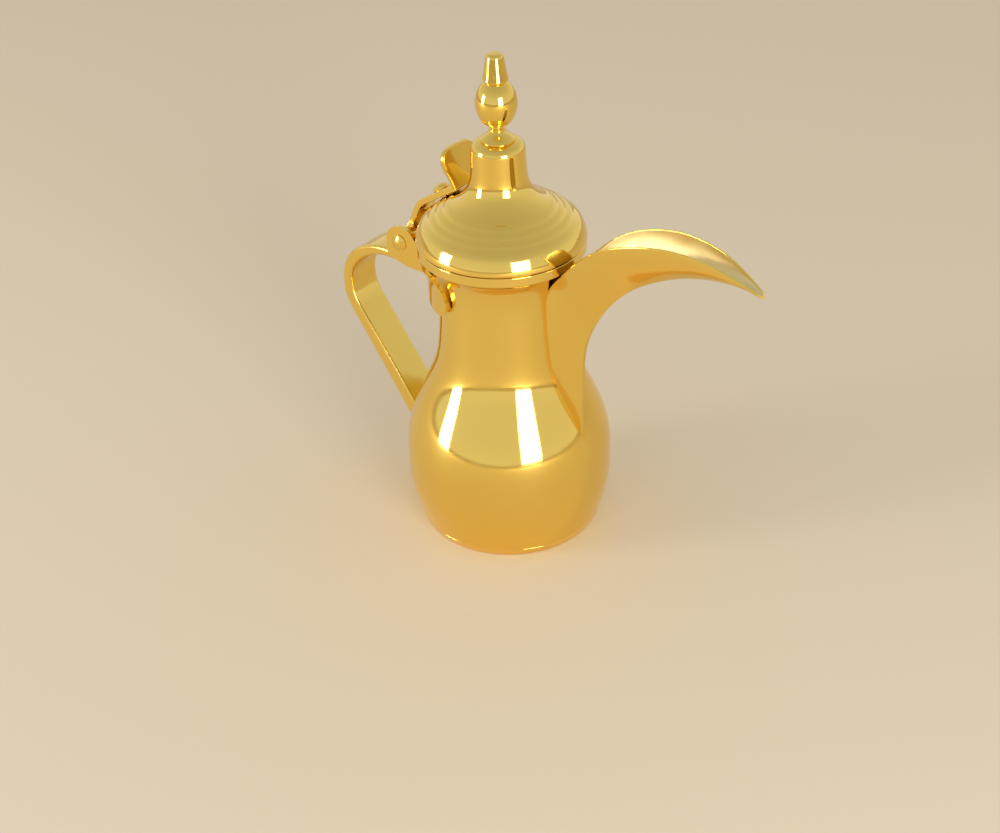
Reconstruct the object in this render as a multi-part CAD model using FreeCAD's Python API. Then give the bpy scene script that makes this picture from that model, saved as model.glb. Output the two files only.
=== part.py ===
"""Dallah coffee pot: an assembly of separate closed solids, one STEP file per node.

Millimetres. Z is up, the origin is the centre of the flat base, +X points to the spout and
the handle and the lid hinge are on the -X side. The rest pose has the lid shut.
"""
import FreeCAD
import Part
import math
import os

Vector = FreeCAD.Vector
AXIS_Z = Vector(0, 0, 1)
ORIGIN = Vector(0, 0, 0)

# ---------------------------------------------------------------- driving dimensions
WALL = 1.2                      # sheet thickness of the body, lid and spout

# body: (radius, height) of the outside, from the base cap joint up to the mouth
BODY_OUTSIDE = [(49.2, 5.0), (52.2, 15.0), (54.7, 27.0), (55.3, 40.0), (54.6, 53.0), (50.4, 68.0),
                (43.2, 84.0), (37.3, 99.0), (34.9, 115.0), (34.1, 130.0), (34.1, 143.0),
                (35.2, 151.0), (37.4, 156.5), (40.2, 160.4)]
CAP_HEIGHT = 5.0                # height of the base cap's rim
CAP_PLATE = 1.6
CAP_FOOT_R = 45.8
SHOULDER_Z = 84.0               # brazed joint between the belly and the neck

COLLAR_R = 44.0
COLLAR_BOTTOM_Z = 163.0
COLLAR_TOP_Z = 168.2
COLLAR_BORE_R = 40.9            # mouth; leaves room for the lid's skirt to swing out

STRAINER_HOLE_R = 1.5
STRAINER_Y = 1.9
STRAINER_PITCH = 8.0
STRAINER_ROWS = 7
STRAINER_START_Z = 90.0

# lid
LID_RIM_Z = 168.7               # lower edge of the lid shell, 0.5 above the collar
STEM_TOP_Z = 223.4
STEM_WALL_TOP = 1.4
BEAD_RINGS = [(37.6, 180.7), (33.8, 183.2), (29.6, 186.0), (25.4, 188.8)]
BEAD_RISE = 0.75
SKIRT_R = 37.4
SKIRT_BOTTOM_Z = 163.2
SKIRT_WALL = 1.2

# hinge
PIN_X = -60.6
PIN_Z = 152.0
PIN_R = 2.0
PIN_RUNNING_FIT = 0.05          # radial clearance in the lever's knuckle
PIN_HEAD_R = 4.8
PIN_HEAD_HEIGHT = 2.2
CHEEK_R = 9.0
CHEEK_INNER_Y = 10.4
CHEEK_OUTER_Y = 12.8
BRACKET_BOTTOM_Z = 139.0
SADDLE_TOP_Z = 149.0
SADDLE_FRONT_X = -48.6
ARM_THICK = 2.4                 # sheet arms of the bracket that reach forward round the neck
ARM_GAP = 0.6                   # their stand-off from the neck, plus a shift towards the hinge
ARM_SHIFT = 3.0
ARM_OUTLINE = [(-46.0, 150.0, 0), (-46.0, 139.5, 0), (-34.0, 136.5, 8), (-24.0, 134.2, 6), (-12.5, 133.4, 5),
               (-7.0, 140.5, 5), (-10.5, 149.5, 6), (-16.5, 155.5, 4), (-32.0, 155.5, 0), (-40.0, 150.0, 6)]

# handle
HANDLE_HALF_WIDTH = 10.25
HANDLE_EDGE_R = 1.6
HANDLE_LEG = (0.598, -0.8016)       # run of the inner face towards the belly
HANDLE_BACK = (0.580, -0.8144)      # run of the outer face, slightly steeper: the bar thickens
HANDLE_INNER_CORNER = [(-72.0, 138.3), (-88.8, 133.3), (-100.0, 121.8), (-101.4, 110.5), (-96.3, 99.2)]
HANDLE_OUTER_CORNER = [(-72.0, 143.2), (-88.4, 140.5), (-99.8, 133.2), (-106.8, 121.5), (-107.9, 110.5),
                       (-101.9, 95.0)]
HANDLE_LEG_LENGTH = 90.0

# lever that joins the lid to the pin
KNUCKLE_R = 5.5
KNUCKLE_HALF = 10.05
STRAP_HALF = 7.0
STRAP_THICK = 3.4
STRAP_SLOPE = math.radians(33.1)
LEVER_BEND = (-52.1, 176.5)         # outside of the bend over the lid's shoulder
BEND_R = 15.0
STRAP_END_X = -23.1
THUMB_THICK = 3.0
THUMB_TILT = math.radians(10.0)
THUMB_FAN = [(7.0, 0.0), (8.3, 5.0), (9.7, 8.3), (11.0, 11.4), (12.0, 15.2), (11.9, 18.9), (9.9, 21.5),
             (6.6, 22.7), (3.0, 23.2)]      # half outline: (y, height)
THUMB_APEX = 23.3
RIVET_X = -39.5
RIVET_HEAD_R = 4.6
RIVET_HEAD_HEIGHT = 3.3
RIVET_SHANK_R = 2.0
RIVET_TAIL_R = 3.3
RIVET_TAIL_HEIGHT = 1.3

# spout stations: keel point (x, z), rim point (x, z), half width at the rim, bulge of the walls
SPOUT_STATIONS = [
    ((51.6, 58.0), (28.0, 58.0), 6.7, 0.00),
    ((51.6, 70.0), (28.0, 72.0), 6.8, 0.00),
    ((51.7, 82.0), (28.0, 87.0), 6.9, 0.00),
    ((51.9, 94.0), (28.0, 102.5), 7.1, 0.01),
    ((52.2, 105.5), (28.2, 118.5), 7.2, 0.03),
    ((53.2, 117.0), (29.6, 134.5), 6.9, 0.07),
    ((56.2, 127.8), (33.8, 149.0), 6.2, 0.12),
    ((60.6, 137.3), (39.0, 157.2), 6.6, 0.20),
    ((67.7, 148.3), (46.4, 165.4), 8.4, 0.28),
    ((76.8, 158.8), (56.2, 175.6), 10.6, 0.34),
    ((88.0, 168.2), (68.0, 185.8), 12.0, 0.38),
    ((100.0, 175.3), (82.0, 193.2), 12.4, 0.40),
    ((112.2, 181.0), (98.0, 198.1), 11.8, 0.40),
    ((125.0, 184.9), (114.0, 200.1), 10.1, 0.40),
    ((137.0, 187.0), (130.0, 198.7), 8.1, 0.40),
    ((147.0, 187.4), (142.0, 195.1), 6.0, 0.38),
    ((154.4, 186.8), (151.0, 191.2), 4.1, 0.34),
    ((159.4, 185.4), (158.0, 187.9), 2.4, 0.30),
]
KEEL_HALF = 1.25

# finial
FINIAL_BASE_TOP_Z = 231.6
EGG_TOP_Z = 255.2
TIP_TOP_Z = 269.8
STUD_R = 1.5
STUD_BOTTOM_Z = 217.6
STUD_TOP_Z = 262.0
STATIC_FIT = 0.05               # radial clearance of holes round fixed fasteners
WASHER_R = 5.0
WASHER_THICK = 1.0
NUT_ACROSS_FLATS = 5.5
NUT_HEIGHT = 2.4


# ---------------------------------------------------------------- helpers
def in_section(point):
    """A (radius or x, z) pair placed in the XZ plane."""
    return Vector(point[0], 0, point[1])


def spline(points, start=None, end=None):
    """Edge through the points, with end directions if they are given."""
    curve = Part.BSplineCurve()
    vectors = [in_section(p) for p in points]
    if start is None:
        curve.interpolate(vectors)
    else:
        curve.interpolate(vectors, InitialTangent=in_section(start), FinalTangent=in_section(end))
    return curve


def segment(a, b):
    return Part.LineSegment(in_section(a), in_section(b)).toShape()


def further(point, direction, distance):
    return (point[0] + direction[0] * distance, point[1] + direction[1] * distance)


def rounded_outline(corners):
    """Closed wire in the XZ plane from (x, z, corner radius) triples."""
    count = len(corners)
    edges = []
    joints = []
    for i in range(count):
        here = in_section(corners[i])
        radius = corners[i][2]
        if radius == 0:
            joints.append((here, here))
            continue
        back = (in_section(corners[i - 1]) - here).normalize()
        ahead = (in_section(corners[(i + 1) % count]) - here).normalize()
        half = math.acos(back.dot(ahead)) / 2
        reach = radius / math.tan(half)
        start = here + back * reach
        end = here + ahead * reach
        middle_way = (back + ahead).normalize()
        middle = here + middle_way * (radius / math.sin(half) - radius)
        edges.append(Part.Arc(start, middle, end).toShape())
        joints.append((start, end))
    for i in range(count):
        leave = joints[i][1]
        arrive = joints[(i + 1) % count][0]
        edges.append(Part.LineSegment(leave, arrive).toShape())
    return Part.Wire(Part.__sortEdges__(edges))


def revolve(edges):
    """Solid of revolution about Z of a closed set of edges in the XZ plane."""
    face = Part.Face(Part.Wire(Part.__sortEdges__(edges)))
    return face.revolve(ORIGIN, AXIS_Z, 360)


def revolve_polygon(points):
    return revolve([segment(points[i], points[(i + 1) % len(points)]) for i in range(len(points))])


def revolve_outline(corners):
    return Part.Face(rounded_outline(corners)).revolve(ORIGIN, AXIS_Z, 360)


def inside_of(curve, thickness, count):
    """Points at a wall thickness from the curve, on the side nearer the axis."""
    first, last = curve.FirstParameter, curve.LastParameter
    points = []
    for i in range(count):
        parameter = first + (last - first) * i / (count - 1)
        place = curve.value(parameter)
        along = curve.tangent(parameter)[0]
        side = Vector(-along.z, 0, along.x)
        points.append((place.x + side.x * thickness, place.z + side.z * thickness))
    return points


def extrude_y(wire, half_width):
    """Solid from a wire in the XZ plane, from -half_width to +half_width in Y."""
    face = Part.Face(wire)
    face.translate(Vector(0, -half_width, 0))
    return face.extrude(Vector(0, 2 * half_width, 0))


def box(low, high):
    size = [high[i] - low[i] for i in range(3)]
    return Part.makeBox(size[0], size[1], size[2], Vector(*low))


def cylinder_y(radius, x, z, y0, y1):
    return Part.makeCylinder(radius, y1 - y0, Vector(x, y0, z), Vector(0, 1, 0))


def domed_head(radius, height, place, direction):
    """Rivet head: a spherical cap standing on a short straight edge."""
    edge = 0.5
    cap = height - edge
    ball = (radius * radius + cap * cap) / (2 * cap)
    top = Vector(0, 0, height)
    rim = Vector(radius, 0, edge)
    angle = math.asin(radius / ball) / 2
    middle = Vector(ball * math.sin(angle), 0, height - ball + ball * math.cos(angle))
    edges = [Part.Arc(top, middle, rim).toShape(),
             Part.LineSegment(rim, Vector(radius, 0, 0)).toShape(),
             Part.LineSegment(Vector(radius, 0, 0), ORIGIN).toShape(),
             Part.LineSegment(ORIGIN, top).toShape()]
    head = revolve(edges)
    head.Placement = FreeCAD.Placement(place, FreeCAD.Rotation(AXIS_Z, direction))
    return head


# ---------------------------------------------------------------- body
def body_curve():
    return spline(BODY_OUTSIDE)


def body_wall():
    """The spun wall, base joint to mouth, and the same shape filled in."""
    outside = body_curve()
    inner = inside_of(outside, WALL, 27)
    inside = spline(inner)
    bottom = BODY_OUTSIDE[0]
    top = BODY_OUTSIDE[-1]
    wall = revolve([outside.toShape(), segment(top, inner[-1]), inside.toShape(), segment(inner[0], bottom)])
    filled = revolve([outside.toShape(), segment(top, (0, top[1])), segment((0, top[1]), (0, bottom[1])),
                      segment((0, bottom[1]), bottom)])
    return wall, filled


def strainer_holes():
    """Two staggered columns of holes through the neck behind the spout."""
    holes = []
    for row in range(STRAINER_ROWS):
        for side, lift in ((1, 0.0), (-1, STRAINER_PITCH / 2)):
            z = STRAINER_START_Z + row * STRAINER_PITCH + lift
            start = Vector(25, side * STRAINER_Y, z)
            holes.append(Part.makeCylinder(STRAINER_HOLE_R, 24, start, Vector(1, 0, 0)))
    return holes


def base_cap():
    rim_r = BODY_OUTSIDE[0][0] + 0.2
    return revolve_outline([(0, 0, 0), (CAP_FOOT_R + 1.0, 0, 1.4), (rim_r, CAP_HEIGHT, 0),
                            (rim_r - 1.5, CAP_HEIGHT, 0), (CAP_FOOT_R, CAP_PLATE, 0.8), (0, CAP_PLATE, 0)])


def rim_collar():
    """Turned ring with a rounded lower edge; its step sits over the end of the neck."""
    neck_r, neck_z = BODY_OUTSIDE[-1]
    return revolve_outline([
        (COLLAR_BORE_R, COLLAR_TOP_Z, 0.3), (COLLAR_R, COLLAR_TOP_Z, 0.5),
        (COLLAR_R + 0.1, COLLAR_BOTTOM_Z, 1.4), (neck_r + 1.3, COLLAR_BOTTOM_Z - 1.6, 0.8),
        (neck_r, neck_z, 0), (neck_r - 1.0, neck_z, 0),
        (neck_r - 0.6, 162.6, 0.3), (COLLAR_BORE_R, 163.4, 0.3)])


# ---------------------------------------------------------------- spout
def spout_section(keel, rim, half_width, bulge):
    """Closed wire of the folded sheet at one station: V below, opening to a U."""
    keel_point = in_section(keel)
    across = in_section(rim) - keel_point
    depth = across.Length
    across.normalize()

    def place(y, rise):
        return keel_point + across * rise + Vector(0, y, 0)

    def wall(side, base_half, base_rise, top_half):
        spread = top_half - base_half
        run = depth - base_rise
        poles = [place(side * base_half, base_rise),
                 place(side * (base_half + spread * (0.33 + bulge)), base_rise + run * 0.33),
                 place(side * (base_half + spread * (0.67 + bulge * 0.75)), base_rise + run * 0.67),
                 place(side * top_half, depth)]
        curve = Part.BezierCurve()
        curve.setPoles(poles)
        return curve.toShape()

    keel_half = min(KEEL_HALF, half_width * 0.55)
    inner_top = half_width - min(WALL, half_width * 0.4)
    inner_keel = keel_half * 0.45
    floor = min(WALL * 1.4, depth * 0.4)
    edges = [wall(1, keel_half, 0, half_width),
             Part.LineSegment(place(half_width, depth), place(inner_top, depth)).toShape(),
             wall(1, inner_keel, floor, inner_top),
             Part.LineSegment(place(inner_keel, floor), place(-inner_keel, floor)).toShape(),
             wall(-1, inner_keel, floor, inner_top),
             Part.LineSegment(place(-inner_top, depth), place(-half_width, depth)).toShape(),
             wall(-1, keel_half, 0, half_width),
             Part.LineSegment(place(-keel_half, 0), place(keel_half, 0)).toShape()]
    return Part.Wire(edges)


def spout(filled_body, collar):
    sections = [spout_section(*station) for station in SPOUT_STATIONS]
    sheet = Part.makeLoft(sections, True, False)
    return sheet.cut(filled_body).cut(collar)


# ---------------------------------------------------------------- handle and hinge bracket
def handle(filled_body):
    """Flat bar: level arm under the hinge, rounded corner, straight leg down to the belly."""
    inner = HANDLE_INNER_CORNER
    outer = HANDLE_OUTER_CORNER
    inner_foot = further(inner[-1], HANDLE_LEG, HANDLE_LEG_LENGTH)
    outer_foot = further(outer[-1], HANDLE_BACK, HANDLE_LEG_LENGTH)
    arm_end = SADDLE_FRONT_X
    edges = [spline(inner, (-1, 0), HANDLE_LEG).toShape(), segment(inner[-1], inner_foot),
             segment(inner_foot, outer_foot), segment(outer_foot, outer[-1]),
             spline(outer, (-1, 0), HANDLE_BACK).toShape(), segment(outer[0], (arm_end, outer[0][1])),
             segment((arm_end, outer[0][1]), (arm_end, inner[0][1])),
             segment((arm_end, inner[0][1]), inner[0])]
    bar = extrude_y(Part.Wire(Part.__sortEdges__(edges)), HANDLE_HALF_WIDTH)
    long_edges = []
    for edge in bar.Edges:
        ends = [vertex.Point.y for vertex in edge.Vertexes]
        middle = edge.valueAt((edge.FirstParameter + edge.LastParameter) / 2)
        if abs(ends[0] - ends[1]) < 0.01 and arm_end - 0.1 > middle.x and middle.z > 30:
            long_edges.append(edge)
    bar = bar.makeFillet(HANDLE_EDGE_R, long_edges)
    return bar.cut(filled_body)


def neck_arms():
    """Sheet that follows the neck at a small distance, cut to the outline of two arms with round ends."""
    grown = []
    for growth in (ARM_GAP, ARM_GAP + ARM_THICK):
        side = inside_of(body_curve(), -growth, 27)
        top = side[-1]
        bottom = side[0]
        grown.append(revolve([spline(side).toShape(), segment(top, (0, top[1])),
                              segment((0, top[1]), (0, bottom[1])), segment((0, bottom[1]), bottom)]))
    sheet = grown[1].cut(grown[0])
    sheet.translate(Vector(-ARM_SHIFT, 0, 0))
    return extrude_y(rounded_outline(ARM_OUTLINE), 60).common(sheet)


def hinge_bracket(filled_body):
    """Two cheeks that clasp the handle and carry the pin, a saddle on the neck and an arm on each side."""
    left = PIN_X - CHEEK_R
    foot = BRACKET_BOTTOM_Z
    plate = rounded_outline([(left, foot + 3.2, 2.0), (-56.5, foot, 8.0), (-20, foot, 0),
                             (-20, SADDLE_TOP_Z, 0), (-43.5, SADDLE_TOP_Z, 3.0), (-53.6, 161.0, 6.0),
                             (PIN_X, PIN_Z + CHEEK_R, 0), (PIN_X, PIN_Z, 0), (left, PIN_Z, 0)])
    ear = cylinder_y(CHEEK_R, PIN_X, PIN_Z, -CHEEK_OUTER_Y, CHEEK_OUTER_Y)
    side = extrude_y(plate, CHEEK_OUTER_Y).fuse(ear)
    slot = box((left - 5, -CHEEK_INNER_Y, foot - 5), (SADDLE_FRONT_X, CHEEK_INNER_Y, PIN_Z + 20))
    above_saddle = box((-60, -CHEEK_INNER_Y, SADDLE_TOP_Z), (-20, CHEEK_INNER_Y, PIN_Z + 20))
    side = side.cut(slot).cut(above_saddle)
    bracket = side.fuse(neck_arms()).cut(filled_body)
    bore = cylinder_y(PIN_R + STATIC_FIT, PIN_X, PIN_Z, -20, 20)
    return bracket.cut(bore)


def hinge_pin():
    shaft = cylinder_y(PIN_R, PIN_X, PIN_Z, -CHEEK_OUTER_Y, CHEEK_OUTER_Y)
    near = domed_head(PIN_HEAD_R, PIN_HEAD_HEIGHT, Vector(PIN_X, -CHEEK_OUTER_Y, PIN_Z), Vector(0, -1, 0))
    far = domed_head(PIN_HEAD_R, PIN_HEAD_HEIGHT, Vector(PIN_X, CHEEK_OUTER_Y, PIN_Z), Vector(0, 1, 0))
    return shaft.fuse(near).fuse(far).removeSplitter()


# ---------------------------------------------------------------- lid
def lid_outside():
    """Outer edges of the lid's half section, from the rim to the flat top of the stem."""
    shoulder = spline([(44.3, 169.6), (43.9, 172.0), (42.8, 175.0), (41.3, 177.8), BEAD_RINGS[0]])
    rim_corner = (44.3, LID_RIM_Z + 0.5)
    edges = [segment((43.7, LID_RIM_Z), rim_corner), segment(rim_corner, (44.3, 169.6)), shoulder.toShape()]
    for outer, inner in zip(BEAD_RINGS[:-1], BEAD_RINGS[1:]):
        middle = ((outer[0] + inner[0]) / 2, (outer[1] + inner[1]) / 2)
        run = Vector(inner[0] - outer[0], 0, inner[1] - outer[1]).normalize()
        crest = in_section(middle) + Vector(run.z, 0, -run.x) * BEAD_RISE
        edges.append(Part.Arc(in_section(outer), crest, in_section(inner)).toShape())
    stem = spline([BEAD_RINGS[-1], (21.4, 191.8), (18.2, 195.4), (15.7, 199.6), (14.7, 204.0), (14.3, 210.0),
                   (13.95, 219.0)])
    edges.append(stem.toShape())
    shoulder_middle = Vector(9.0 + 4.95 * math.cos(math.pi / 4), 0, 219.0 + 4.4 * math.sin(math.pi / 4))
    edges.append(Part.Arc(Vector(13.95, 0, 219.0), shoulder_middle, Vector(9.0, 0, STEM_TOP_Z)).toShape())
    return edges


def lid_inside():
    """Inner edges of the lid's half section, from the stem's roof down to the rim."""
    roof_z = STEM_TOP_Z - STEM_WALL_TOP
    stem_r = 12.7
    dome = spline([(stem_r, 208.0), (14.6, 198.2), (20.0, 190.6), (33.4, 181.0), (37.4, 178.6),
                   (40.0, 176.2), (41.6, 173.6), (42.5, 171.2), (42.6, 170.0)])
    return [segment((8.4, roof_z), (0, roof_z)),
            Part.Arc(Vector(8.4, 0, roof_z), Vector(11.5, 0, 220.8), Vector(stem_r, 0, 217.6)).toShape(),
            segment((stem_r, 217.6), (stem_r, 208.0)), dome.toShape(),
            segment((42.6, 170.0), (42.6, LID_RIM_Z)), segment((42.6, LID_RIM_Z), (43.7, LID_RIM_Z))]


def strap_direction():
    return Vector(math.cos(STRAP_SLOPE), 0, math.sin(STRAP_SLOPE))


def strap_normal():
    return Vector(-math.sin(STRAP_SLOPE), 0, math.cos(STRAP_SLOPE))


def rivet_seat():
    """Point on the upper face of the strap, on the rivet's axis."""
    rise = (RIVET_X - LEVER_BEND[0]) * math.tan(STRAP_SLOPE)
    return Vector(RIVET_X, 0, LEVER_BEND[1] + rise)


def rivet_hole(radius):
    start = rivet_seat() + strap_normal() * 4
    return Part.makeCylinder(radius, 16, start, strap_normal() * -1)


def lid_shell():
    top = [segment((9.0, STEM_TOP_Z), (0, STEM_TOP_Z)),
           segment((0, STEM_TOP_Z), (0, STEM_TOP_Z - STEM_WALL_TOP))]
    shell = revolve(lid_outside() + top + lid_inside())
    stud_hole = Part.makeCylinder(STUD_R + STATIC_FIT, 10, Vector(0, 0, STEM_TOP_Z - 5), AXIS_Z)
    return shell.cut(stud_hole).cut(rivet_hole(RIVET_SHANK_R + STATIC_FIT))


def lid_skirt():
    """Locating ring: its flange bears on the collar and its skirt hangs inside the mouth."""
    inner = SKIRT_R - SKIRT_WALL
    flange_top = COLLAR_TOP_Z + SKIRT_WALL
    return revolve_outline([(SKIRT_R, SKIRT_BOTTOM_Z, 0.3), (SKIRT_R, COLLAR_TOP_Z, 0.5),
                            (42.5, COLLAR_TOP_Z, 0), (42.5, flange_top, 0), (inner, flange_top, 1.2),
                            (inner, SKIRT_BOTTOM_Z, 0.3)])


def thumb_plate():
    """Fan-shaped plate that stands up from the end of the strap and leans outwards."""
    up = Vector(-math.sin(THUMB_TILT), 0, math.cos(THUMB_TILT))
    front = Vector(math.cos(THUMB_TILT), 0, math.sin(THUMB_TILT))
    rise = (STRAP_END_X - LEVER_BEND[0]) * math.tan(STRAP_SLOPE)
    underside = LEVER_BEND[1] + rise - STRAP_THICK / math.cos(STRAP_SLOPE)
    base = Vector(STRAP_END_X, 0, underside) - front * THUMB_THICK

    def place(y, height):
        return base + up * height + Vector(0, y, 0)

    half = [place(y, height) for y, height in THUMB_FAN]
    mirrored = [place(-y, height) for y, height in reversed(THUMB_FAN)]
    outline = Part.BSplineCurve()
    outline.interpolate(half + [place(0, THUMB_APEX)] + mirrored)
    edges = [outline.toShape(), Part.LineSegment(mirrored[-1], half[0]).toShape()]
    plate = Part.Face(Part.Wire(edges)).extrude(front * THUMB_THICK)
    return plate.makeFillet(0.7, [edge for edge in plate.Edges if edge.Length > 40])


def lid_lever():
    slope = math.tan(STRAP_SLOPE)
    drop = STRAP_THICK / math.cos(STRAP_SLOPE)
    leaf_slope = 2.29
    leaf_shift = STRAP_THICK / math.sin(math.atan(leaf_slope))
    bend_x, bend_z = LEVER_BEND
    end_x = STRAP_END_X
    end_z = bend_z - drop + (end_x - bend_x) * slope
    inner_x = (leaf_slope * (bend_x + leaf_shift) - slope * bend_x - drop) / (leaf_slope - slope)
    inner_z = bend_z - drop + (inner_x - bend_x) * slope
    leaf_foot_z = 154.0
    outer_foot_x = bend_x - (bend_z - leaf_foot_z) / leaf_slope
    top_x = end_x - drop * math.tan(THUMB_TILT)
    top_z = bend_z + (top_x - bend_x) * slope
    strip = rounded_outline([(outer_foot_x, leaf_foot_z, 0), (bend_x, bend_z, BEND_R), (top_x, top_z, 0),
                             (end_x, end_z, 0.5), (inner_x, inner_z, BEND_R - STRAP_THICK),
                             (outer_foot_x + leaf_shift, leaf_foot_z, 0)])
    wide = extrude_y(strip, KNUCKLE_HALF)
    points = [(KNUCKLE_HALF, 140), (KNUCKLE_HALF, 157.5), (STRAP_HALF, 163.5), (STRAP_HALF, 210)]
    ring = [Vector(-80, y, z) for y, z in points] + [Vector(-80, -y, z) for y, z in reversed(points)]
    width_mask = Part.Face(Part.makePolygon(ring + [ring[0]])).extrude(Vector(80, 0, 0))
    leaf = wide.common(width_mask)
    knuckle = cylinder_y(KNUCKLE_R, PIN_X, PIN_Z, -KNUCKLE_HALF, KNUCKLE_HALF)
    lever = leaf.fuse(knuckle).fuse(thumb_plate()).removeSplitter()
    bore = cylinder_y(PIN_R + PIN_RUNNING_FIT, PIN_X, PIN_Z, -20, 20)
    return lever.cut(bore).cut(rivet_hole(RIVET_SHANK_R + STATIC_FIT))


def lever_rivet():
    seat = rivet_seat()
    normal = strap_normal()
    grip = STRAP_THICK + 3.15
    shank = Part.makeCylinder(RIVET_SHANK_R, grip, seat, normal * -1)
    head = domed_head(RIVET_HEAD_R, RIVET_HEAD_HEIGHT, seat, normal)
    tail = domed_head(RIVET_TAIL_R, RIVET_TAIL_HEIGHT, seat - normal * grip, normal * -1)
    return shank.fuse(head).fuse(tail).removeSplitter()


# ---------------------------------------------------------------- finial
def stud_bore():
    return Part.makeCylinder(STUD_R + STATIC_FIT, STUD_TOP_Z + 0.3 - 210, Vector(0, 0, 210), AXIS_Z)


def finial_base():
    """Bell-shaped foot with a ringed neck."""
    bell = spline([(8.9, 224.5), (7.4, 225.6), (5.2, 227.0), (3.9, 229.0)])
    edges = [segment((0, STEM_TOP_Z), (8.5, STEM_TOP_Z)), segment((8.5, STEM_TOP_Z), (8.9, 223.8)),
             segment((8.9, 223.8), (8.9, 224.5)), bell.toShape(),
             Part.Arc(Vector(3.9, 0, 229.0), Vector(4.5, 0, 229.7), Vector(3.9, 0, 230.4)).toShape(),
             segment((3.9, 230.4), (3.6, FINIAL_BASE_TOP_Z)),
             segment((3.6, FINIAL_BASE_TOP_Z), (0, FINIAL_BASE_TOP_Z)),
             segment((0, FINIAL_BASE_TOP_Z), (0, STEM_TOP_Z))]
    return revolve(edges).cut(stud_bore())


def finial_egg():
    side = spline([(4.2, FINIAL_BASE_TOP_Z), (7.4, 234.0), (9.6, 238.0), (10.55, 242.0), (10.5, 246.0),
                   (9.4, 250.0), (7.6, 253.0), (5.4, EGG_TOP_Z)])
    edges = [segment((0, FINIAL_BASE_TOP_Z), (4.2, FINIAL_BASE_TOP_Z)), side.toShape(),
             segment((5.4, EGG_TOP_Z), (0, EGG_TOP_Z)), segment((0, EGG_TOP_Z), (0, FINIAL_BASE_TOP_Z))]
    return revolve(edges).cut(stud_bore())


def finial_tip():
    return revolve_outline([(0, EGG_TOP_Z, 0), (6.7, EGG_TOP_Z, 1.1), (5.7, 260.5, 6), (4.3, TIP_TOP_Z, 2.2),
                            (0, TIP_TOP_Z, 0)]).cut(stud_bore())


def finial_stud():
    return Part.makeCylinder(STUD_R, STUD_TOP_Z - STUD_BOTTOM_Z, Vector(0, 0, STUD_BOTTOM_Z), AXIS_Z)


def finial_washer():
    low = STEM_TOP_Z - STEM_WALL_TOP - WASHER_THICK
    return Part.makeCylinder(WASHER_R, WASHER_THICK, Vector(0, 0, low), AXIS_Z).cut(stud_bore())


def finial_nut():
    low = STEM_TOP_Z - STEM_WALL_TOP - WASHER_THICK - NUT_HEIGHT
    corner = NUT_ACROSS_FLATS / 2 / math.cos(math.pi / 6)
    ring = []
    for i in range(7):
        angle = math.pi / 3 * i
        ring.append(Vector(corner * math.cos(angle), corner * math.sin(angle), low))
    return Part.Face(Part.makePolygon(ring)).extrude(Vector(0, 0, NUT_HEIGHT)).cut(stud_bore())


# ---------------------------------------------------------------- build and export
wall, filled_body = body_wall()
below_joint = box((-80, -80, 0), (80, 80, SHOULDER_Z))
collar = rim_collar().cut(wall)
neck = wall.cut(below_joint)
for hole in strainer_holes():
    neck = neck.cut(hole)

nodes = {
    "base_cap": base_cap(),
    "belly_shell": wall.common(below_joint),
    "neck_shell": neck,
    "rim_collar": collar,
    "spout": spout(filled_body, collar),
    "handle": handle(filled_body),
    "hinge_bracket": hinge_bracket(filled_body),
    "hinge_pin": hinge_pin(),
    "lid_lever": lid_lever(),
    "lever_rivet": lever_rivet(),
    "lid_shell": lid_shell(),
    "lid_skirt": lid_skirt(),
    "finial_base": finial_base(),
    "finial_egg": finial_egg(),
    "finial_tip": finial_tip(),
    "finial_stud": finial_stud(),
    "finial_washer": finial_washer(),
    "finial_nut": finial_nut(),
}

os.makedirs("parts", exist_ok=True)
for name, shape in nodes.items():
    shape.exportStep("parts/" + name + ".step")
    bounds = shape.BoundBox
    extents = (bounds.XMin, bounds.XMax, bounds.YMin, bounds.YMax, bounds.ZMin, bounds.ZMax)
    print(name, len(shape.Solids), shape.isValid(), round(shape.Volume), ["%.1f" % value for value in extents])
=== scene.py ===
"""Looks of the dallah coffee pot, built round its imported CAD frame. Sizes below are in millimetres."""
import bmesh
import bpy
import math
import numpy as np
from mathutils import Matrix, Vector


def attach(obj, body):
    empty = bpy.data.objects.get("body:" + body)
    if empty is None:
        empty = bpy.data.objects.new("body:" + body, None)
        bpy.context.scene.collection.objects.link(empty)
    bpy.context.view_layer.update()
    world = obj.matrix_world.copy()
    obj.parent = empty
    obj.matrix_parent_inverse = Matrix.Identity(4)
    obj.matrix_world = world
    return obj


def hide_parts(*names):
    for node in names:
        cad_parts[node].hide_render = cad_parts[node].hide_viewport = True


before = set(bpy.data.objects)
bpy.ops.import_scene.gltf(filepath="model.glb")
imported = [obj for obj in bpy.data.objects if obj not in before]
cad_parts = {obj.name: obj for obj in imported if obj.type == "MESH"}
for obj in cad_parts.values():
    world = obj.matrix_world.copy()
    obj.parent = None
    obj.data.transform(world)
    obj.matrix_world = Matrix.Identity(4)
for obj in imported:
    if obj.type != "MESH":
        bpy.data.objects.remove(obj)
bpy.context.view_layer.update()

MM = 0.001
AROUND = 224                    # faces round a turned piece
AROUND_FINIAL = 128
WALL = 1.2

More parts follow.
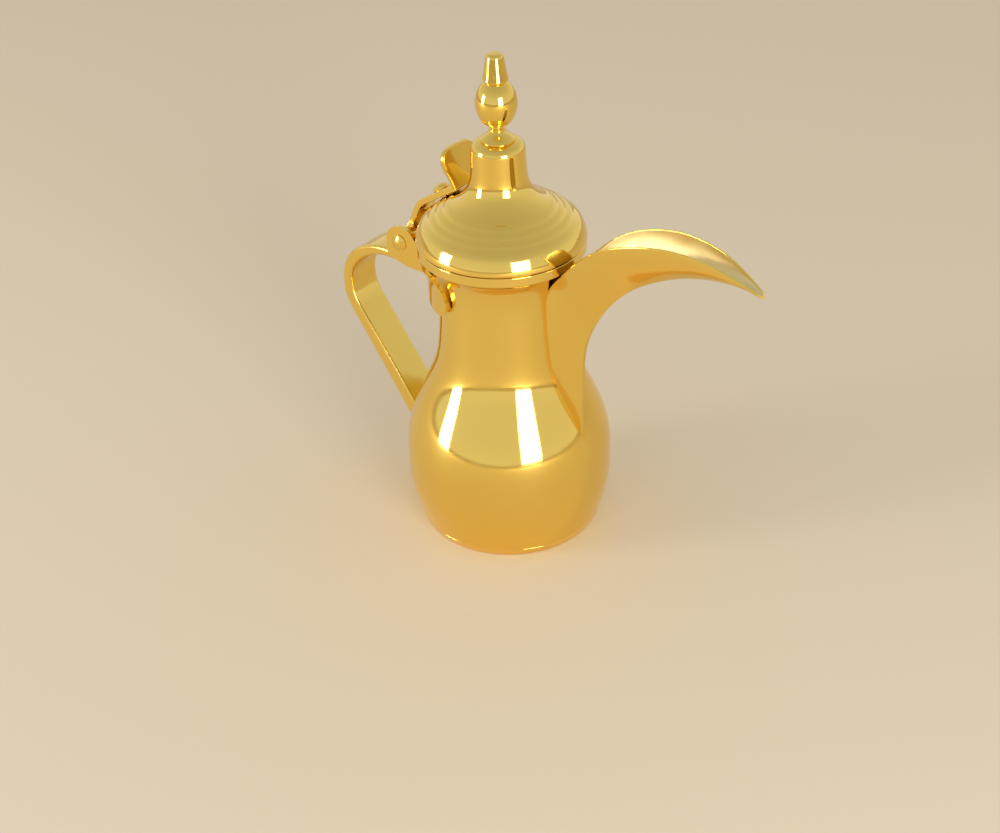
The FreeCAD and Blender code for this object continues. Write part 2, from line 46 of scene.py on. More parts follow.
# body: (radius, height) of the outside
BODY_OUTSIDE = [(49.2, 5.0), (52.2, 15.0), (54.7, 27.0), (55.3, 40.0), (54.6, 53.0), (50.4, 68.0),
                (43.2, 84.0), (37.3, 99.0), (34.9, 115.0), (34.1, 130.0), (34.1, 143.0),
                (35.2, 151.0), (37.4, 156.5), (40.2, 160.4)]
COLLAR_R = 44.0
COLLAR_TOP_Z = 168.2
COLLAR_MIDDLE_R = 42.6          # middle of the collar's wall
NECK_TOP_Z = 160.4
LID_RIM_Z = 168.7
STEM_TOP_Z = 223.4
BELL_TOP_Z, EGG_TOP_Z, TIP_TOP_Z = 231.6, 255.2, 269.8
STUD_BORE_R = 1.55
LID_INNER_R, STEM_R, STEM_SHOULDER_Z = 42.6, 13.95, 219.0
STEM_FLAT_R = 9.0               # flat top of the stem
STEM_ROOF_Z = 222.0             # underside of the stem's top
RING_FOOT_Z = 163.2             # the lid's locating ring reaches down to here inside the collar
BEAD_RINGS = [(37.6, 180.7), (33.8, 183.2), (29.6, 186.0), (25.4, 188.8)]
BEAD_RISE = 0.46                # a little flatter than the CAD beads: their polished edges are softer
BEAD_EASING = 12                # smoothing passes over the beads

PIN_X, PIN_Z, PIN_R = -60.6, 152.0, 2.0
PIN_HEAD_R, PIN_HEAD_HEIGHT = 4.8, 2.2
CHEEK_OUTER_Y = 12.8

# lever that joins the lid to the pin: knuckle, leaf, bend over the lid's shoulder, strap, thumb plate
KNUCKLE_R, KNUCKLE_BORE_R, KNUCKLE_HALF = 5.5, 2.05, 10.05
STRAP_HALF, STRAP_THICK = 7.0, 3.4
STRAP_SLOPE = math.radians(33.1)
LEAF_SLOPE = 2.29               # rise over run of the leaf's outer face
LEAF_FOOT_Z = 156.3             # the leaf starts inside the knuckle's wall, clear of its bore
BEND_X, BEND_Z, BEND_R = -52.1, 176.5, 15.0
STRAP_END_X = -23.1
EDGE_R = 0.55
THUMB_THICK, THUMB_APEX = 3.0, 23.3
THUMB_TILT = math.radians(10.0)
THUMB_FAN = [(7.0, 0.0), (8.3, 5.0), (9.7, 8.3), (11.0, 11.4), (12.0, 15.2), (11.9, 18.9), (9.9, 21.5),
             (6.6, 22.7), (3.0, 23.2)]
THUMB_EDGE = [(0.0, 0.8), (0.1, 0.42), (0.33, 0.15), (0.75, 0.0), (2.25, 0.0), (2.67, 0.15), (2.9, 0.42),
              (3.0, 0.8)]       # rounding of the plate's rim: (depth, inset)
RIVET_X, RIVET_HEAD_R, RIVET_HEAD_HEIGHT = -39.5, 4.6, 3.3
RIVET_TAIL = [(0, -7.8), (2.0, -7.6), (3.3, -7.0), (3.3, -6.55), (2.0, -6.55), (2.0, 0)]   # (radius, height)

STRAINER_HOLE_R, STRAINER_Y, STRAINER_PITCH = 1.5, 1.9, 8.0
STRAINER_START_Z, STRAINER_ROWS = 90.0, 7
HOLE_START_X, HOLE_DEPTH = 25, 24

# spout stations: keel (x, z), rim (x, z), half width at the rim, bulge of the walls
SPOUT_STATIONS = [
    (51.6, 58.0, 28.0, 58.0, 6.7, 0.00), (51.6, 70.0, 28.0, 72.0, 6.8, 0.00),
    (51.7, 82.0, 28.0, 87.0, 6.9, 0.00), (51.9, 94.0, 28.0, 102.5, 7.1, 0.01),
    (52.2, 105.5, 28.2, 118.5, 7.2, 0.03), (53.2, 117.0, 29.6, 134.5, 6.9, 0.07),
    (56.2, 127.8, 33.8, 149.0, 6.2, 0.12), (60.6, 137.3, 39.0, 157.2, 6.6, 0.20),
    (67.7, 148.3, 46.4, 165.4, 8.4, 0.28), (76.8, 158.8, 56.2, 175.6, 10.6, 0.34),
    (88.0, 168.2, 68.0, 185.8, 12.0, 0.38), (100.0, 175.3, 82.0, 193.2, 12.4, 0.40),
    (112.2, 181.0, 98.0, 198.1, 11.8, 0.40), (125.0, 184.9, 114.0, 200.1, 10.1, 0.40),
    (137.0, 187.0, 130.0, 198.7, 8.1, 0.40), (147.0, 187.4, 142.0, 195.1, 6.0, 0.38),
    (154.4, 186.8, 151.0, 191.2, 4.1, 0.34), (159.4, 185.4, 158.0, 187.9, 2.4, 0.30),
]
# points on half a spout section: along the keel, up the outside, over the lip; and steps down the inside
KEEL_ROWS, OUTER_ROWS, LIP_ROWS, INNER_ROWS = 3, 28, 7, 24

CAMERA_AT = (0.6099, -0.7136, 0.6645)   # metres
CAMERA_LENS, CAMERA_SENSOR = 74.01, 36.0
CAMERA_TURN, CAMERA_DOWN, CAMERA_ROLL = 40.8, 32.829, -2.378     # degrees
FLOOR_HALF = 6                          # metres
LIGHT_AIM_Z = 0.12                      # metres


# ---------------------------------------------------------------- curves
def spline(points, per_span, end=None):
    """Rows of numbers along a smooth cubic through the given rows; end is the direction at the end."""
    p = np.array(points, float)
    count = len(p)
    h = np.linalg.norm(np.diff(p[:, :2], axis=0), axis=1)
    a = np.zeros((count, count))
    b = np.zeros_like(p)
    for i in range(1, count - 1):
        a[i, i - 1:i + 2] = h[i - 1], 2 * (h[i - 1] + h[i]), h[i]
        b[i] = 6 * ((p[i + 1] - p[i]) / h[i] - (p[i] - p[i - 1]) / h[i - 1])
    a[0, 0] = a[-1, -1] = 1
    if end is not None:
        a[-1, -2:] = h[-1], 2 * h[-1]
        b[-1] = 6 * (np.array(end) - (p[-1] - p[-2]) / h[-1])
    m = np.linalg.solve(a, b)
    rows = []
    for i in range(count - 1):
        near = p[i] / h[i] - m[i] * h[i] / 6
        far = p[i + 1] / h[i] - m[i + 1] * h[i] / 6
        for t in np.linspace(0, 1, per_span, endpoint=False):
            u, v = t * h[i], (1 - t) * h[i]
            rows.append(m[i] * v ** 3 / (6 * h[i]) + m[i + 1] * u ** 3 / (6 * h[i]) + near * v + far * u)
    rows.append(p[-1])
    return [tuple(float(x) for x in row) for row in rows]


def arc(a, middle, b, count=8):
    """Points on the circle through three points, ends included."""
    ax, az, bx, bz, cx, cz = *a, *middle, *b
    sa, sb, sc = ax**2 + az**2, bx**2 + bz**2, cx**2 + cz**2
    d = 2 * (ax * (bz - cz) + bx * (cz - az) + cx * (az - bz))
    ux = (sa * (bz - cz) + sb * (cz - az) + sc * (az - bz)) / d
    uz = (sa * (cx - bx) + sb * (ax - cx) + sc * (bx - ax)) / d
    first, half, last = (math.atan2(q[1] - uz, q[0] - ux) for q in (a, middle, b))
    span = (last - first) % (2 * math.pi)
    if (half - first) % (2 * math.pi) > span:
        span -= 2 * math.pi
    radius = math.hypot(ax - ux, az - uz)
    points = []
    for i in range(count + 1):
        angle = first + span * i / count
        points.append((ux + radius * math.cos(angle), uz + radius * math.sin(angle)))
    return points


def rounded(corners, count=6):
    """Closed outline with each (x, z, radius) corner rounded."""
    outline = []
    for i, (x, z, radius) in enumerate(corners):
        here = Vector((x, z))
        if radius == 0:
            outline.append((x, z))
            continue
        back = (Vector(corners[i - 1][:2]) - here).normalized()
        ahead = (Vector(corners[(i + 1) % len(corners)][:2]) - here).normalized()
        half = back.angle(ahead) / 2
        start = here + back * radius / math.tan(half)
        end = here + ahead * radius / math.tan(half)
        middle = here + (back + ahead).normalized() * (radius / math.sin(half) - radius)
        outline += arc(start, middle, end, count)
    return outline


def offset_inside(points, thickness):
    """The outline moved towards the axis by the sheet's thickness."""
    p = np.array(points)
    along = np.gradient(p, axis=0)
    along /= np.linalg.norm(along, axis=1)[:, None]
    side = np.stack([-along[:, 1], along[:, 0]], 1)
    return [tuple(row) for row in p + side * thickness]


# ---------------------------------------------------------------- meshes
def make_piece(name, vertices, faces, material, body, nodes, sharp=35, lining=None, lined=()):
    """Mesh from millimetre points, smooth where its faces meet gently, standing for CAD nodes.

    The faces numbered in lined take the second material, lining.
    """
    mesh = bpy.data.meshes.new(name)
    mesh.from_pydata([(x * MM, y * MM, z * MM) for x, y, z in vertices], [], faces)
    mesh.materials.append(material)
    if lining:
        mesh.materials.append(lining)
        for face in lined:
            mesh.polygons[face].material_index = 1
    work = bmesh.new()
    work.from_mesh(mesh)
    bmesh.ops.remove_doubles(work, verts=work.verts, dist=1e-7)
    bmesh.ops.recalc_face_normals(work, faces=work.faces)
    work.to_mesh(mesh)
    work.free()
    mesh.shade_smooth()
    mesh.set_sharp_from_angle(angle=math.radians(sharp))
    piece = bpy.data.objects.new(name, mesh)
    bpy.context.scene.collection.objects.link(piece)
    piece.modifiers.new("even_normals", "WEIGHTED_NORMAL").keep_sharp = True
    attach(piece, body)
    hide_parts(*nodes)
    return piece


def turned(outline, around=AROUND, place=None):
    """Vertices and faces of a closed (radius, height) outline turned about its axis."""
    vertices, faces, rings = [], [], []
    for radius, height in outline:
        if radius < 1e-6:
            rings.append([len(vertices)] * around)
            vertices.append(Vector((0, 0, height)))
            continue
        rings.append(list(range(len(vertices), len(vertices) + around)))
        for i in range(around):
            angle = 2 * math.pi * i / around
            vertices.append(Vector((radius * math.cos(angle), radius * math.sin(angle), height)))
    for ring, following in zip(rings, rings[1:] + rings[:1]):
        for i in range(around):
            j = (i + 1) % around
            corners = list(dict.fromkeys([ring[i], ring[j], following[j], following[i]]))
            if len(corners) > 2:
                faces.append(corners)
    if place is not None:
        vertices = [place @ v for v in vertices]
    return vertices, faces


def joined(parts):
    """Vertices and faces of several shapes as one."""
    vertices, faces = [], []
    for more_vertices, more_faces in parts:
        base = len(vertices)
        vertices += list(more_vertices)
        faces += [[i + base for i in face] for face in more_faces]
    return vertices, faces


def lofted(rings):
    """Faces between closed rings of equal length, with the two end rings filled."""
    vertices = [point for ring in rings for point in ring]
    count = len(rings[0])
    faces = []
    for k in range(len(rings) - 1):
        for i in range(count):
            j = (i + 1) % count
            faces.append([k * count + i, k * count + j, (k + 1) * count + j, (k + 1) * count + i])
    faces.append(list(range(count)))
    faces.append([(len(rings) - 1) * count + i for i in range(count)])
    return vertices, faces


# ---------------------------------------------------------------- materials
def polished_gold(name, roughness=0.07, lines=0.0, ripple=0.02, tint=(0.93, 0.665, 0.16)):
    """Gold-plated brass: mirror polish with faint turning lines, wiping marks and a slow ripple."""
    material = bpy.data.materials.new(name)
    material.use_nodes = True
    tree = material.node_tree
    nodes, links = tree.nodes, tree.links
    shader = nodes["Principled BSDF"]
    shader.inputs["Metallic"].default_value = 1.0
    place = nodes.new("ShaderNodeTexCoord")

    def noise(scale, detail, stretch=(1, 1, 1)):
        mapping = nodes.new("ShaderNodeMapping")
        mapping.inputs["Scale"].default_value = stretch
        links.new(place.outputs["Object"], mapping.inputs["Vector"])
        texture = nodes.new("ShaderNodeTexNoise")
        texture.inputs["Scale"].default_value = scale
        texture.inputs["Detail"].default_value = detail
        links.new(mapping.outputs["Vector"], texture.inputs["Vector"])
        return texture.outputs["Fac"]

    def spread(value, low, high, out_low, out_high):
        node = nodes.new("ShaderNodeMapRange")
        sockets = ("From Min", "From Max", "To Min", "To Max")
        for socket, number in zip(sockets, (low, high, out_low, out_high)):
            node.inputs[socket].default_value = number
        links.new(value, node.inputs["Value"])
        return node.outputs["Result"]

    warm = nodes.new("ShaderNodeMix")
    warm.data_type = "RGBA"
    links.new(spread(noise(9, 3), 0.35, 0.7, 0, 1), warm.inputs["Factor"])
    warm.inputs["A"].default_value = (*tint, 1)
    warm.inputs["B"].default_value = (tint[0] * 0.97, tint[1] * 0.93, tint[2] * 0.82, 1)
    links.new(warm.outputs["Result"], shader.inputs["Base Color"])

    wiped = spread(noise(70, 5, (1, 1, 0.35)), 0.35, 0.75, roughness * 0.75, roughness * 1.5)
    links.new(wiped, shader.inputs["Roughness"])

    slow = nodes.new("ShaderNodeBump")
    slow.inputs["Strength"].default_value = ripple
    slow.inputs["Distance"].default_value = 0.004
    links.new(noise(22, 1), slow.inputs["Height"])
    fine = nodes.new("ShaderNodeBump")
    fine.inputs["Strength"].default_value = 0.02 + lines
    fine.inputs["Distance"].default_value = 0.0002
    links.new(noise(60, 4, (1, 1, 40)), fine.inputs["Height"])
    links.new(slow.outputs["Normal"], fine.inputs["Normal"])
    links.new(fine.outputs["Normal"], shader.inputs["Normal"])
    return material


polished = polished_gold("polished_gold", roughness=0.05)
spun = polished_gold("spun_gold", roughness=0.055, lines=0.03)
formed = polished_gold("formed_gold", roughness=0.09, ripple=0.05, tint=(0.92, 0.65, 0.15))
brushed = polished_gold("brushed_gold", roughness=0.38, lines=0.05, tint=(0.87, 0.70, 0.33))
satin = polished_gold("satin_gold", roughness=0.16, ripple=0.03, lines=0.06, tint=(0.92, 0.655, 0.155))

NODE_FINISH = {"hinge_bracket": formed, "handle": satin}
for name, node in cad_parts.items():
    for slot in node.material_slots:
        slot.material = NODE_FINISH.get(name, spun)
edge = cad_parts["hinge_bracket"].modifiers.new("soft_edges", "BEVEL")
edge.width = 0.35 * MM
edge.segments = 2
edge.limit_method = "ANGLE"
edge.angle_limit = math.radians(40)
edge.harden_normals = True


# ---------------------------------------------------------------- body
body_outside = spline(BODY_OUTSIDE, 12)
body_inside = offset_inside(body_outside, WALL)
pot_body = make_piece("pot_body", *turned(body_outside + body_inside[::-1]), spun, "pot",
                      ["belly_shell", "neck_shell"])

holes = []
lying = Matrix.Rotation(math.pi / 2, 4, "Y")
bar = [(0, 0), (STRAINER_HOLE_R, 0), (STRAINER_HOLE_R, HOLE_DEPTH), (0, HOLE_DEPTH)]
for row in range(STRAINER_ROWS):
    for side, lift in ((1, 0.0), (-1, STRAINER_PITCH / 2)):
        z = STRAINER_START_Z + row * STRAINER_PITCH + lift
        holes.append(turned(bar, 24, Matrix.Translation((HOLE_START_X, side * STRAINER_Y, z)) @ lying))
cutter_mesh = bpy.data.meshes.new("hole_cutter")
hole_vertices, hole_faces = joined(holes)
cutter_mesh.from_pydata([tuple(v * MM) for v in hole_vertices], [], hole_faces)
cutter = bpy.data.objects.new("hole_cutter", cutter_mesh)
bpy.context.scene.collection.objects.link(cutter)
punch = pot_body.modifiers.new("strainer_holes", "BOOLEAN")
punch.object = cutter
punch.solver = "EXACT"
pot_body.modifiers.move(1, 0)
punched = bpy.data.meshes.new_from_object(pot_body.evaluated_get(bpy.context.evaluated_depsgraph_get()))
pot_body.modifiers.clear()
pot_body.data = punched
pot_body.modifiers.new("even_normals", "WEIGHTED_NORMAL").keep_sharp = True
bpy.data.objects.remove(cutter)

make_piece("foot_cap", *turned(rounded([
    (0, 0, 0), (46.8, 0, 1.4), (49.4, 5.0, 0.35), (47.9, 5.0, 0), (45.8, 1.6, 0.8), (0, 1.6, 0)])),
    spun, "pot", ["base_cap"])
make_piece("mouth_collar", *turned(rounded([
    (40.9, COLLAR_TOP_Z, 0.3), (COLLAR_R, COLLAR_TOP_Z, 0.6), (COLLAR_R + 0.1, 163.0, 1.4),
    (41.5, 161.4, 0.8), (40.2, 160.5, 0), (39.35, 161.2, 0), (39.6, 162.6, 0.3), (40.9, 163.4, 0.3)], 8)),
    spun, "pot", ["rim_collar"])


# ---------------------------------------------------------------- spout
def spout_ring(row):
    """Closed outline of the folded sheet at one station, with a rounded lip along both edges."""
    keel = Vector((row[0], 0, row[1]))
    across = Vector((row[2], 0, row[3])) - keel
    half_width, bulge = row[4], row[5]
    depth = across.length
    across.normalize()
    sheet = min(WALL, half_width * 0.4)
    lip = sheet / 2
    keel_half = min(1.25, half_width * 0.55)
    floor_rise = min(WALL * 1.4, depth * 0.4)

    def wall(base_half, base_rise, top_half, rows):
        spread, run = top_half - base_half, depth - base_rise
        poles = [(base_half, base_rise), (base_half + spread * (0.33 + bulge), base_rise + run * 0.33),
                 (base_half + spread * (0.67 + bulge * 0.75), base_rise + run * 0.67), (top_half, depth)]
        points = []
        for i in range(rows + 1):
            t = i / rows * (1 - lip / depth)
            weights = ((1 - t) ** 3, 3 * t * (1 - t) ** 2, 3 * t * t * (1 - t), t ** 3)
            points.append(tuple(sum(w * pole[k] for w, pole in zip(weights, poles)) for k in (0, 1)))
        return points

    outer = wall(keel_half, 0, half_width, OUTER_ROWS)
    inner = wall(keel_half * 0.45, floor_rise, half_width - sheet, INNER_ROWS)
    (ox, oz), (ix, iz) = outer[-1], inner[-1]
    centre = ((ox + ix) / 2, (oz + iz) / 2)
    radius = math.hypot(ox - ix, oz - iz) / 2
    tilt = math.atan2(oz - iz, ox - ix)
    lip_arc = []
    for i in range(1, LIP_ROWS + 1):
        angle = tilt + math.pi * i / (LIP_ROWS + 1)
        lip_arc.append((centre[0] + radius * math.cos(angle), centre[1] + radius * math.sin(angle)))
    corner = min(0.3, keel_half * 0.3)
    half = [(keel_half - corner, 0.0), (keel_half - corner * 0.3, corner * 0.25)]
    half += [(outer[0][0] + (outer[1][0] - outer[0][0]) * 0.3, max(outer[0][1], corner * 0.9))]
    half += outer[1:] + lip_arc + inner[::-1]
    ring = half + [(-y, rise) for y, rise in half[::-1]]
    return [keel + across * rise + Vector((0, y, 0)) for y, rise in ring]


def outside_pot(point):
    """The same point, or one held in the middle of the pot's wall if it lies deeper than that."""
    if point.z > COLLAR_TOP_Z:
        return point
    if point.z > NECK_TOP_Z:
        limit = COLLAR_MIDDLE_R
    else:
        radii, heights = zip(*body_outside)
        limit = float(np.interp(point.z, heights, radii)) - WALL / 2
    if math.hypot(point.x, point.y) >= limit:
        return point
    return Vector((math.sqrt(limit ** 2 - point.y ** 2), point.y, point.z))


rings = [[outside_pot(p) for p in spout_ring(row)] for row in spline(SPOUT_STATIONS, 9)]
ring_length = len(rings[0])
inner_start = KEEL_ROWS + OUTER_ROWS + LIP_ROWS
inner_faces = []
for k in range(len(rings) - 1):
    inner_faces += range(k * ring_length + inner_start, (k + 1) * ring_length - inner_start)
make_piece("pouring_spout", *lofted(rings), polished, "pot", ["spout"], 50, brushed, inner_faces)


# ---------------------------------------------------------------- hinge pin and rivet
def button(radius, height, side=0.5, rows=10):
    """Domed head, from its rim to its crown."""
    rise = height - side
    ball = (radius ** 2 + rise ** 2) / (2 * rise)
    reach = math.asin(radius / ball)
    dome = []
    for i in range(rows + 1):
        angle = reach * (1 - i / rows)
        dome.append((ball * math.sin(angle), height - ball + ball * math.cos(angle)))
    return [(radius - 0.2, 0), (radius, 0.15)] + dome


along_y = Matrix.Translation((PIN_X, 0, PIN_Z)) @ Matrix.Rotation(math.pi / 2, 4, "X")
head = [(r, h + CHEEK_OUTER_Y) for r, h in button(PIN_HEAD_R, PIN_HEAD_HEIGHT)]
pin_outline = [(r, -h) for r, h in head[::-1]] + [(PIN_R, -CHEEK_OUTER_Y), (PIN_R, CHEEK_OUTER_Y)] + head
make_piece("hinge_pin_riveted", *turned(pin_outline, 72, along_y), formed, "pot", ["hinge_pin"])

seat = Vector((RIVET_X, 0, BEND_Z + (RIVET_X - BEND_X) * math.tan(STRAP_SLOPE)))
strap_up = Vector((-math.sin(STRAP_SLOPE), 0, math.cos(STRAP_SLOPE)))
along_strap = Matrix.Translation(seat) @ strap_up.to_track_quat("Z", "Y").to_matrix().to_4x4()
rivet_outline = RIVET_TAIL + button(RIVET_HEAD_R, RIVET_HEAD_HEIGHT, side=0.9)
make_piece("lever_rivet_domed", *turned(rivet_outline, 72, along_strap), formed, "lid", ["lever_rivet"])


# ---------------------------------------------------------------- lever
def lever_strap():
    """Leaf, bend and strap: a strip swept along its upper face, from the knuckle to the thumb plate."""
    bend = Vector((BEND_X, BEND_Z))
    foot = Vector((bend.x - (bend.y - LEAF_FOOT_Z) / LEAF_SLOPE, LEAF_FOOT_Z))
    end = Vector((STRAP_END_X, bend.y + (STRAP_END_X - bend.x) * math.tan(STRAP_SLOPE)))
    up_leaf = (bend - foot).normalized()
    up_strap = (end - bend).normalized()
    corner = math.acos(up_leaf.dot(up_strap))
    reach = BEND_R * math.tan(corner / 2)
    path = [(foot + up_leaf * t, up_leaf) for t in np.linspace(0, (bend - foot).length - reach, 24)]
    pivot = bend - up_leaf * reach + Vector((up_leaf.y, -up_leaf.x)) * BEND_R
    for i in range(1, 16):
        turn = Matrix.Rotation(-corner * i / 16, 2)
        away = Vector((-up_leaf.y, up_leaf.x))
        away.rotate(turn)
        heading = up_leaf.copy()
        heading.rotate(turn)
        path.append((pivot + away * BEND_R, heading))
    path += [(bend + up_strap * t, up_strap) for t in np.linspace(reach, (end - bend).length - 2.6, 12)]
    rings = []
    for point, heading in path:
        half = float(np.interp(point.y, [157.5, 163.5], [KNUCKLE_HALF, STRAP_HALF]))
        down = Vector((heading.y, -heading.x))
        section = rounded([(-half, 0, EDGE_R), (half, 0, EDGE_R), (half, STRAP_THICK, EDGE_R),
                           (-half, STRAP_THICK, EDGE_R)], 4)
        ring = []
        for y, depth in section:
            at = point + down * depth
            ring.append(Vector((at.x, y, at.y)))
        rings.append(ring)
    return lofted(rings)


def lever_knuckle():
    """Tube round the pin, its outer edges broken by 0.3."""
    half, radius, bore = KNUCKLE_HALF, KNUCKLE_R, KNUCKLE_BORE_R
    return turned([(bore, -half), (radius - 0.3, -half), (radius, -half + 0.3), (radius, half - 0.3),
                   (radius - 0.3, half), (bore, half)], 72, along_y)


def thumb_plate():
    """Fan-shaped plate with rounded edges that leans outwards from the end of the strap."""
    up = Vector((-math.sin(THUMB_TILT), 0, math.cos(THUMB_TILT)))
    front = Vector((math.cos(THUMB_TILT), 0, math.sin(THUMB_TILT)))
    underside = BEND_Z + (STRAP_END_X - BEND_X) * math.tan(STRAP_SLOPE) - STRAP_THICK / math.cos(STRAP_SLOPE)
    base = Vector((STRAP_END_X, 0, underside)) - front * THUMB_THICK
    fan = spline(THUMB_FAN + [(0.0, THUMB_APEX)], 10, end=(-1.0, 0.0))
    outline = fan + [(-y, rise) for y, rise in fan[-2::-1]]
    middle = Vector((0, 11.0))
    rings = []
    for depth, inset in THUMB_EDGE:
        ring = []
        for y, rise in outline:
            point = Vector((y, rise))
            point += (middle - point).normalized() * inset
            ring.append(base + up * point.y + front * depth + Vector((0, point.x, 0)))
        rings.append(ring)
    return lofted(rings)


make_piece("lid_lever_formed", *joined([lever_strap(), lever_knuckle(), thumb_plate()]), formed, "lid",
           ["lid_lever"], sharp=40)


# ---------------------------------------------------------------- lid
def lid_beads():
    """Three convex rings that step up the dome."""
    points = []
    for (r0, z0), (r1, z1) in zip(BEAD_RINGS[:-1], BEAD_RINGS[1:]):
        length = math.hypot(r1 - r0, z1 - z0)
        normal = ((z1 - z0) / length, (r0 - r1) / length)
        for i in range(24):
            t = i / 24
            rise = BEAD_RISE * 4 * t * (1 - t)
            radius = r0 + (r1 - r0) * t + normal[0] * rise
            height = z0 + (z1 - z0) * t + normal[1] * rise
            points.append((radius, height))
    return points


def eased(points, passes):
    """The outline with its corners smoothed, its ends held."""
    p = np.array(points)
    for _ in range(passes):
        p[1:-1] = (p[:-2] + 2 * p[1:-1] + p[2:]) / 4
    return [tuple(row) for row in p]


shoulder = spline([(44.3, 169.6), (43.9, 172.0), (42.8, 175.0), (41.3, 177.8), BEAD_RINGS[0]], 10)
stem = spline([BEAD_RINGS[-1], (21.4, 191.8), (18.2, 195.4), (15.7, 199.6), (14.7, 204.0), (14.3, 210.0),
               (STEM_R, STEM_SHOULDER_Z)], 10)
crown_middle = (STEM_FLAT_R + (STEM_R - STEM_FLAT_R) * math.cos(math.pi / 4),
                STEM_SHOULDER_Z + (STEM_TOP_Z - STEM_SHOULDER_Z) * math.sin(math.pi / 4))
crown = arc((STEM_R, STEM_SHOULDER_Z), crown_middle, (STEM_FLAT_R, STEM_TOP_Z), 12)
roof = arc((8.4, STEM_ROOF_Z), (11.5, 220.8), (12.7, 217.6), 8)
dome = spline([(12.7, 208.0), (14.6, 198.2), (20.0, 190.6), (33.4, 181.0), (37.4, 178.6), (40.0, 176.2),
               (41.6, 173.6), (42.5, 171.2), (LID_INNER_R, 170.0)], 6)
lid_outside = eased(shoulder[:-1] + lid_beads() + stem, BEAD_EASING)
lid_rim = arc((43.6, LID_RIM_Z), (44.1, LID_RIM_Z + 0.25), (44.3, LID_RIM_Z + 0.8), 5)[:-1]
lid_outline = lid_rim + lid_outside[:-1] + crown + [(0, STEM_TOP_Z), (0, STEM_ROOF_Z)] + roof + dome
lid_outline.append((LID_INNER_R, LID_RIM_Z))
make_piece("lid_dome", *turned(lid_outline), spun, "lid", ["lid_shell"])
ring_seat_z = COLLAR_TOP_Z + 0.03       # a hair above the collar, so that no two faces share a plane
ring_top_z = COLLAR_TOP_Z + WALL
make_piece("lid_locating_ring", *turned(rounded([
    (37.4, RING_FOOT_Z, 0.3), (37.4, ring_seat_z, 0.5), (42.5, ring_seat_z, 0.15), (42.5, ring_top_z, 0.15),
    (36.2, ring_top_z, 1.0), (36.2, RING_FOOT_Z, 0.3)])), spun, "lid", ["lid_skirt"])


# ---------------------------------------------------------------- finial
bell = spline([(8.9, 224.5), (7.6, 225.6), (5.9, 226.9), (4.6, 228.1), (3.9, 229.0)], 6)
neck_ring = arc((3.9, 229.0), (4.5, 229.7), (3.9, 230.4), 8)
bell_outline = [(STUD_BORE_R, STEM_TOP_Z), (8.6, STEM_TOP_Z), (8.9, 223.8)] + bell + neck_ring[1:]
bell_outline += [(3.6, 230.8), (3.6, BELL_TOP_Z), (STUD_BORE_R, BELL_TOP_Z)]
make_piece("finial_bell", *turned(bell_outline, AROUND_FINIAL), polished, "lid", ["finial_base"])
egg = spline([(4.2, BELL_TOP_Z), (7.4, 234.0), (9.6, 238.0), (10.55, 242.0), (10.5, 246.0), (9.4, 250.0),
              (7.6, 253.0), (5.4, EGG_TOP_Z)], 9)
egg_outline = [(STUD_BORE_R, BELL_TOP_Z)] + egg + [(STUD_BORE_R, EGG_TOP_Z)]
make_piece("finial_bulb", *turned(egg_outline, AROUND_FINIAL), polished, "lid", ["finial_egg"])
point_outline = rounded([(0, EGG_TOP_Z, 0), (6.7, EGG_TOP_Z, 1.1), (5.7, 260.5, 6.0), (4.3, TIP_TOP_Z, 2.2),
                         (0, TIP_TOP_Z, 0)], 10)
make_piece("finial_point", *turned(point_outline, AROUND_FINIAL), polished, "lid", ["finial_tip"])


# ---------------------------------------------------------------- floor, light, camera
def area_light(name, azimuth, elevation, distance, size, power):
    """Soft box that faces the pot from a compass direction round it."""
    aim = Vector((0, 0, LIGHT_AIM_Z))
    a, e = math.radians(azimuth), math.radians(elevation)
    way = Vector((math.cos(a) * math.cos(e), math.sin(a) * math.cos(e), math.sin(e)))
    light = bpy.data.lights.new(name, "AREA")
    light.shape = "RECTANGLE"
    light.size, light.size_y = size
    light.energy = power
    lamp = bpy.data.objects.new(name, light)
    lamp.location = aim + way * distance
    lamp.rotation_mode = "QUATERNION"
    lamp.rotation_quaternion = way.to_track_quat("Z", "Y")
    bpy.context.scene.collection.objects.link(lamp)


area_light("left_box", -128, 9, 1.5, (0.40, 0.75), 9)
area_light("right_box", -26, 12, 1.5, (0.60, 0.75), 11)

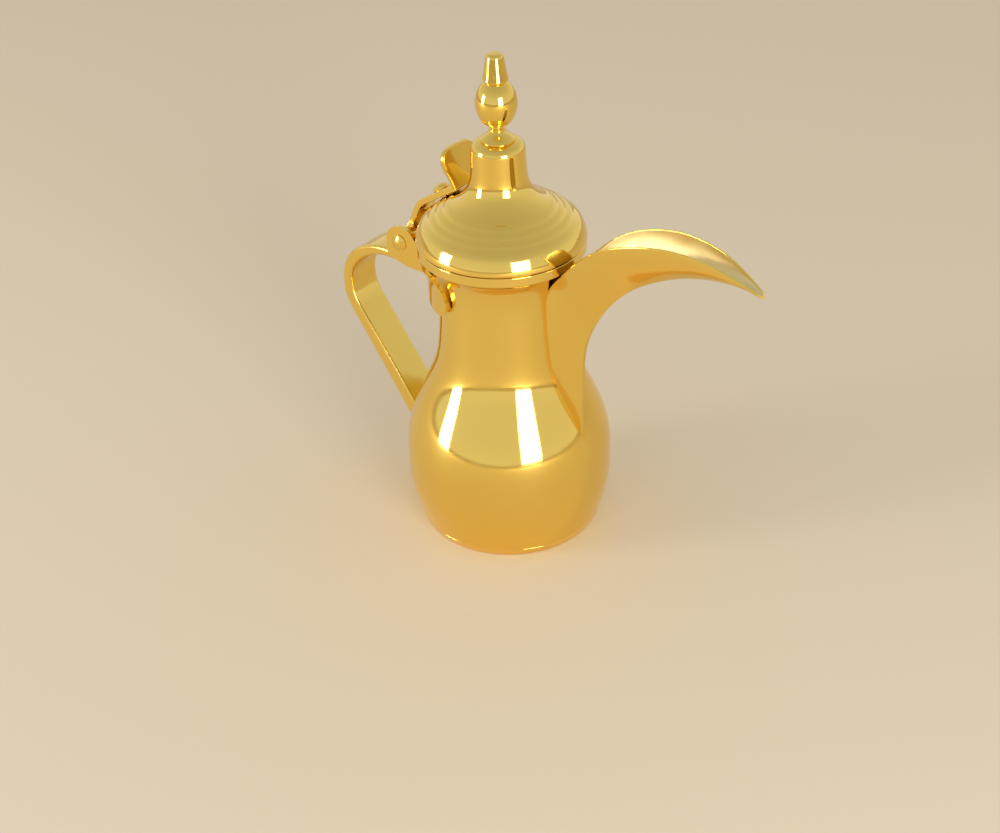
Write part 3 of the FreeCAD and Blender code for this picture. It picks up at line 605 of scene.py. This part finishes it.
# studio walls: bright at eye level, dimmer ceiling
world = bpy.data.worlds.new("studio")
bpy.context.scene.world = world
world.use_nodes = True
tree = world.node_tree
sky = tree.nodes["Background"]
direction = tree.nodes.new("ShaderNodeTexCoord")
split = tree.nodes.new("ShaderNodeSeparateXYZ")
tree.links.new(direction.outputs["Generated"], split.inputs["Vector"])
ramp = tree.nodes.new("ShaderNodeValToRGB")
tree.links.new(split.outputs["Z"], ramp.inputs["Fac"])
tree.links.new(ramp.outputs["Color"], sky.inputs["Color"])
stops = ramp.color_ramp.elements
stops[0].position, stops[0].color = 0.0, (0.80, 0.80, 0.80, 1)
stops[1].position, stops[1].color = 1.0, (0.52, 0.52, 0.52, 1)
for position, grey in ((0.30, 0.74), (0.60, 0.62)):
    stops.new(position).color = (grey, grey, grey, 1)
sky.inputs["Strength"].default_value = 1.0

floor_mesh = bpy.data.meshes.new("floor")
floor_corners = [(x * FLOOR_HALF, y * FLOOR_HALF, 0) for x, y in ((-1, -1), (1, -1), (1, 1), (-1, 1))]
floor_mesh.from_pydata(floor_corners, [], [(0, 1, 2, 3)])
floor = bpy.data.objects.new("floor", floor_mesh)
bpy.context.scene.collection.objects.link(floor)
paper = bpy.data.materials.new("paper")
paper.use_nodes = True
paper_shader = paper.node_tree.nodes["Principled BSDF"]
paper_shader.inputs["Base Color"].default_value = (0.84, 0.70, 0.50, 1)
paper_shader.inputs["Roughness"].default_value = 0.8
floor_mesh.materials.append(paper)

camera_data = bpy.data.cameras.new("camera")
camera_data.lens = CAMERA_LENS
camera_data.sensor_width = CAMERA_SENSOR
camera = bpy.data.objects.new("camera", camera_data)
bpy.context.scene.collection.objects.link(camera)
camera.location = CAMERA_AT
turn = Matrix.Rotation(math.radians(CAMERA_TURN), 3, "Z")
tilt = Matrix.Rotation(math.radians(90 - CAMERA_DOWN), 3, "X")
roll = Matrix.Rotation(math.radians(CAMERA_ROLL), 3, "Z")
camera.rotation_mode = "QUATERNION"
camera.rotation_quaternion = (turn @ tilt @ roll).to_quaternion()
bpy.context.scene.camera = camera

bpy.context.scene.view_settings.view_transform = "Standard"
